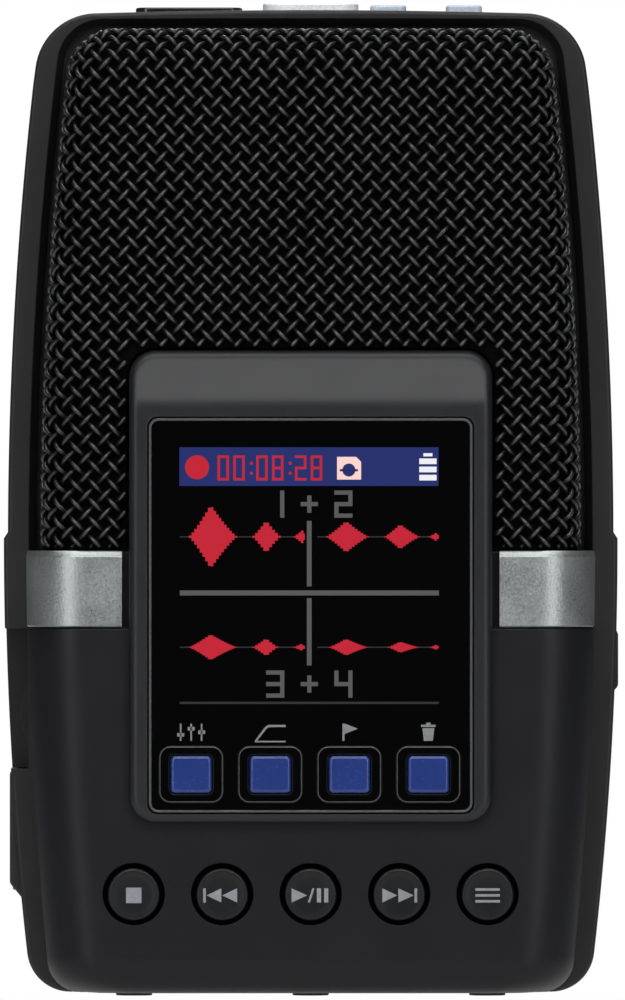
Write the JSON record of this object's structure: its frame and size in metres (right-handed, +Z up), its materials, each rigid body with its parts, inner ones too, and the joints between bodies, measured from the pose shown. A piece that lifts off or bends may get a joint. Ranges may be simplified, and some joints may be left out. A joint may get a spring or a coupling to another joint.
{
  "type": "portable field recorder",
  "caption": "Hand-held field recorder: woven-wire grilles over microphones, raised colour display with blue keys, round transport buttons, metal band, sliding battery door.",
  "frame": {"origin": "on the surface that the feet stand on, under the middle of the body", "axes": "+Z up along the body, +X to the user's right with the display facing the user, the display faces -Y"},
  "size_m": [0.068, 0.043, 0.1099],
  "materials": {
    "frame_plastic": "fine moulded texture",
    "shell_plastic": "satin, soft to the touch",
    "surround_plastic": "satin",
    "window_gloss": "polished",
    "display_panel": "polished",
    "grille_wire": "gloss black woven wire",
    "foam": "open cell foam",
    "band_metal": "satin painted metallic",
    "blue_key": "satin",
    "circuit_board": "solder mask",
    "button_plastic": "satin",
    "chip_plastic": "moulded",
    "screw_steel": "black zinc",
    "grey_key": "satin",
    "capsule_metal": "satin",
    "cradle_rubber": "moulded",
    "record_silver": "satin, pale",
    "smoked_lens": "polished, smoked",
    "insert_brass": "turned",
    "foot_rubber": "moulded",
    "cell_sleeve": "printed sleeve",
    "contact_nickel": "nickel plated",
    "socket_steel": "plated",
    "jack_plastic": "moulded",
    "slider_plastic": "ribbed",
    "wheel_rubber": "knurled",
    "cover_rubber": "moulded",
    "speaker_body": "satin",
    "switch_metal": "plated",
    "inner_plastic": "moulded"
  },
  "bodies": {
    "body": {"center_frame": "frame_plastic", "front_shell": "shell_plastic", "rear_shell": "shell_plastic", "inner_chassis": "inner_plastic", "battery_tray": "inner_plastic", "upper_cell": "cell_sleeve", "lower_cell": "cell_sleeve", "battery_springs": "contact_nickel", "battery_contacts": "contact_nickel", "tripod_insert": "insert_brass", "feet": "foot_rubber", "case_screws": "screw_steel", "bezel": "surround_plastic", "display_window": "window_gloss", "display_module": "display_panel", "display_board": "circuit_board", "function_switches": "switch_metal", "front_grille": "grille_wire", "rear_grille": "grille_wire", "front_foam": "foam", "rear_foam": "foam", "front_band_left": "band_metal", "front_band_right": "band_metal", "rear_band": "band_metal", "speaker": "speaker_body", "main_board": "circuit_board", "main_chips": "chip_plastic", "board_screws": "screw_steel", "key_board": "circuit_board", "tact_switches": "switch_metal", "top_board": "circuit_board", "lamp_window": "smoked_lens", "mic_cradle": "cradle_rubber", "mic_front_left": "capsule_metal", "mic_front_right": "capsule_metal", "mic_rear_left": "capsule_metal", "mic_rear_right": "capsule_metal", "headphone_jack": "jack_plastic", "line_in_jack": "jack_plastic", "usb_socket": "socket_steel", "card_socket": "socket_steel", "power_switch": "inner_plastic", "volume_pot": "inner_plastic"},
    "stop_button": {"stop_button": "button_plastic"},
    "rewind_button": {"rewind_button": "button_plastic"},
    "play_button": {"play_button": "button_plastic"},
    "forward_button": {"forward_button": "button_plastic"},
    "menu_button": {"menu_button": "button_plastic"},
    "function_key_1": {"function_key_1": "blue_key"},
    "function_key_2": {"function_key_2": "blue_key"},
    "function_key_3": {"function_key_3": "blue_key"},
    "function_key_4": {"function_key_4": "blue_key"},
    "record_button": {"record_button": "record_silver"},
    "front_mic_button": {"front_mic_button": "grey_key"},
    "rear_mic_button": {"rear_mic_button": "grey_key"},
    "power_slider": {"power_slider": "slider_plastic"},
    "volume_wheel": {"volume_wheel": "wheel_rubber"},
    "side_cover": {"side_cover": "cover_rubber"},
    "battery_door": {"battery_door": "shell_plastic"}
  },
  "joints": [
    {"name": "stop_button_press", "type": "slide", "parent": "body", "child": "stop_button", "axis": [0, 1, 0], "range_m": [0, 0.0006], "stiffness_N_per_m": 1500, "springref_m": -0.0002},
    {"name": "rewind_button_press", "type": "slide", "parent": "body", "child": "rewind_button", "axis": [0, 1, 0], "range_m": [0, 0.0006], "stiffness_N_per_m": 1500, "springref_m": -0.0002},
    {"name": "play_button_press", "type": "slide", "parent": "body", "child": "play_button", "axis": [0, 1, 0], "range_m": [0, 0.0006], "stiffness_N_per_m": 1500, "springref_m": -0.0002},
    {"name": "forward_button_press", "type": "slide", "parent": "body", "child": "forward_button", "axis": [0, 1, 0], "range_m": [0, 0.0006], "stiffness_N_per_m": 1500, "springref_m": -0.0002},
    {"name": "menu_button_press", "type": "slide", "parent": "body", "child": "menu_button", "axis": [0, 1, 0], "range_m": [0, 0.0006], "stiffness_N_per_m": 1500, "springref_m": -0.0002},
    {"name": "function_key_1_press", "type": "slide", "parent": "body", "child": "function_key_1", "axis": [0, 1, 0], "range_m": [0, 0.0004], "stiffness_N_per_m": 2000, "springref_m": -0.0002},
    {"name": "function_key_2_press", "type": "slide", "parent": "body", "child": "function_key_2", "axis": [0, 1, 0], "range_m": [0, 0.0004], "stiffness_N_per_m": 2000, "springref_m": -0.0002},
    {"name": "function_key_3_press", "type": "slide", "parent": "body", "child": "function_key_3", "axis": [0, 1, 0], "range_m": [0, 0.0004], "stiffness_N_per_m": 2000, "springref_m": -0.0002},
    {"name": "function_key_4_press", "type": "slide", "parent": "body", "child": "function_key_4", "axis": [0, 1, 0], "range_m": [0, 0.0004], "stiffness_N_per_m": 2000, "springref_m": -0.0002},
    {"name": "record_button_press", "type": "slide", "parent": "body", "child": "record_button", "axis": [0, 0, -1], "range_m": [0, 0.0006], "stiffness_N_per_m": 1500, "springref_m": -0.0002},
    {"name": "front_mic_button_press", "type": "slide", "parent": "body", "child": "front_mic_button", "axis": [0, 0, -1], "range_m": [0, 0.0005], "stiffness_N_per_m": 1500, "springref_m": -0.0002},
    {"name": "rear_mic_button_press", "type": "slide", "parent": "body", "child": "rear_mic_button", "axis": [0, 0, -1], "range_m": [0, 0.0005], "stiffness_N_per_m": 1500, "springref_m": -0.0002},
    {"name": "power_slide", "type": "slide", "parent": "body", "child": "power_slider", "axis": [0, 0, 1], "range_m": [0, 0.0025]},
    {"name": "volume_turn", "type": "hinge", "parent": "body", "child": "volume_wheel", "pos_m": [-0.0262, -0.0035, 0.0313], "axis": [0, 1, 0], "range_deg": [-150, 150]},
    {"name": "side_cover_hinge", "type": "hinge", "parent": "body", "child": "side_cover", "pos_m": [0.03214, 0.006, 0.021], "axis": [0.0725, 0, 0.9974], "range_deg": [0, 95]},
    {"name": "battery_door_slide", "type": "slide", "parent": "body", "child": "battery_door", "axis": [0, 0, -1], "range_m": [0, 0.04]}
  ]
}
